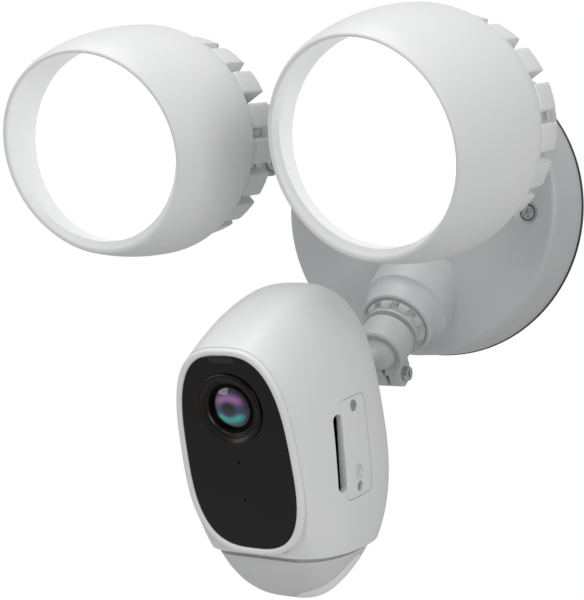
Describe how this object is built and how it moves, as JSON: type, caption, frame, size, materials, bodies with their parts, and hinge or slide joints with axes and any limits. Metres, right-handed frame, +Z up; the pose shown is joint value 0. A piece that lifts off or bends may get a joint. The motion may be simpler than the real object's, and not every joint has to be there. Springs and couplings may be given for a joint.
{
  "type": "floodlight security camera",
  "caption": "Wall-mounted security camera head with hooded LED floodlights on clamped ball-joint arms, round base and motion sensor dome.",
  "frame": {"origin": "centre of the wall face, where the house cable enters", "axes": "+Y into the wall, -Y forward, +Z up"},
  "size_m": [0.2458, 0.2345, 0.2604],
  "materials": {
    "shell_plastic": "moulded white plastic, fine satin",
    "base_plastic": "moulded light grey plastic, fine satin",
    "bezel_plastic": "moulded white plastic, smooth",
    "plate_steel": "galvanised sheet",
    "foam": "closed-cell foam",
    "black_rubber": "matt",
    "screw_steel": "zinc plated",
    "pcb": "solder resist",
    "pcb_white": "white solder resist on aluminium",
    "ferrite": "taped winding",
    "capacitor": "sleeved can",
    "terminal": "moulded",
    "black_plastic": "moulded",
    "arm_plastic": "moulded light grey plastic",
    "cast": "die cast, painted white",
    "ball_metal": "cast, painted",
    "diffuser": "opal, lit from behind",
    "reflector": "white reflector",
    "led": "phosphor",
    "black_glass": "polished black acrylic",
    "lens_metal": "dark bronze anodised",
    "barrel": "matt black",
    "lens": "coated glass",
    "pir_plastic": "milky translucent polyethylene",
    "sensor_can": "nickel plated can",
    "spring_steel": "spring wire",
    "button": "moulded grey"
  },
  "bodies": {
    "base": {"base_cover": "base_plastic", "base_plate": "plate_steel", "base_gasket": "foam", "cable_grommet": "black_rubber", "cover_screws": "screw_steel", "driver_board": "pcb", "driver_transformer": "ferrite", "driver_capacitors": "capacitor", "terminal_block": "terminal", "siren": "black_plastic", "lock_ring_left": "arm_plastic", "lock_ring_right": "arm_plastic", "lock_ring_camera": "arm_plastic"},
    "arm_left": {"arm_left": "arm_plastic", "clamp_screw_left": "screw_steel", "clamp_nut_left": "screw_steel"},
    "stem_left": {"lamp_stem_left": "ball_metal"},
    "lamp_left": {"lamp_shell_left": "shell_plastic", "heatsink_left": "cast", "diffuser_left": "diffuser", "reflector_left": "reflector", "led_board_left": "pcb_white", "leds_left": "led", "lamp_seal_left": "foam", "lamp_screws_left": "screw_steel"},
    "arm_right": {"arm_right": "arm_plastic", "clamp_screw_right": "screw_steel", "clamp_nut_right": "screw_steel"},
    "stem_right": {"lamp_stem_right": "ball_metal"},
    "lamp_right": {"lamp_shell_right": "shell_plastic", "heatsink_right": "cast", "diffuser_right": "diffuser", "reflector_right": "reflector", "led_board_right": "pcb_white", "leds_right": "led", "lamp_seal_right": "foam", "lamp_screws_right": "screw_steel"},
    "arm_camera": {"arm_camera": "arm_plastic", "clamp_screw_camera": "screw_steel", "clamp_nut_camera": "screw_steel"},
    "head_stem": {"head_stem": "ball_metal", "stem_nut": "screw_steel"},
    "head": {"head_collar": "arm_plastic", "head_shell": "shell_plastic", "head_bezel": "bezel_plastic", "window": "black_glass", "lens_ring": "lens_metal", "lens_barrel": "barrel", "lens_glass": "lens", "camera_board": "pcb", "main_board": "pcb", "speaker": "black_plastic", "pir_collar": "bezel_plastic", "pir_dome": "pir_plastic", "pir_sensor": "sensor_can", "card_cover": "shell_plastic", "card_cover_screws": "screw_steel", "card_reader": "plate_steel", "button_spring": "spring_steel"},
    "reset_button": {"reset_button": "button"}
  },
  "joints": [
    {"name": "left_arm_swivel", "type": "hinge", "parent": "base", "child": "arm_left", "pos_m": [-0.072, -0.077, 0.041], "axis": [-0.4226, -0.9063, 0], "range_deg": [-50, 50]},
    {"name": "left_ball_tilt", "type": "hinge", "parent": "arm_left", "child": "stem_left", "pos_m": [-0.072, -0.077, 0.041], "axis": [1, 0, 0], "range_deg": [-36, 12]},
    {"name": "left_lamp_turn", "type": "hinge", "parent": "stem_left", "child": "lamp_left", "pos_m": [-0.072, -0.077, 0.041], "axis": [0.0173, -0.9901, -0.1392], "range_deg": [-60, 60]},
    {"name": "right_arm_swivel", "type": "hinge", "parent": "base", "child": "arm_right", "pos_m": [0.072, -0.077, 0.041], "axis": [0.4226, -0.9063, 0], "range_deg": [-50, 50]},
    {"name": "right_ball_tilt", "type": "hinge", "parent": "arm_right", "child": "stem_right", "pos_m": [0.072, -0.077, 0.041], "axis": [1, 0, 0], "range_deg": [-36, 12]},
    {"name": "right_lamp_turn", "type": "hinge", "parent": "stem_right", "child": "lamp_right", "pos_m": [0.072, -0.077, 0.041], "axis": [-0.0309, -0.9843, -0.1736], "range_deg": [-60, 60]},
    {"name": "camera_arm_swivel", "type": "hinge", "parent": "base", "child": "arm_camera", "pos_m": [0, -0.0752, -0.0731], "axis": [0, -0.8192, -0.5736], "range_deg": [-45, 45]},
    {"name": "camera_ball_tilt", "type": "hinge", "parent": "arm_camera", "child": "head_stem", "pos_m": [0, -0.0752, -0.0731], "axis": [1, 0, 0], "range_deg": [-10, 52]},
    {"name": "camera_head_turn", "type": "hinge", "parent": "head_stem", "child": "head", "pos_m": [0, -0.0752, -0.0731], "axis": [0, -0.9578, -0.2874], "range_deg": [-30, 30]},
    {"name": "reset_button_press", "type": "slide", "parent": "head", "child": "reset_button", "axis": [-0.9976, 0.0668, 0.02], "range_m": [0, 0.0006], "stiffness_N_per_m": 900, "springref_m": -0.0008}
  ]
}
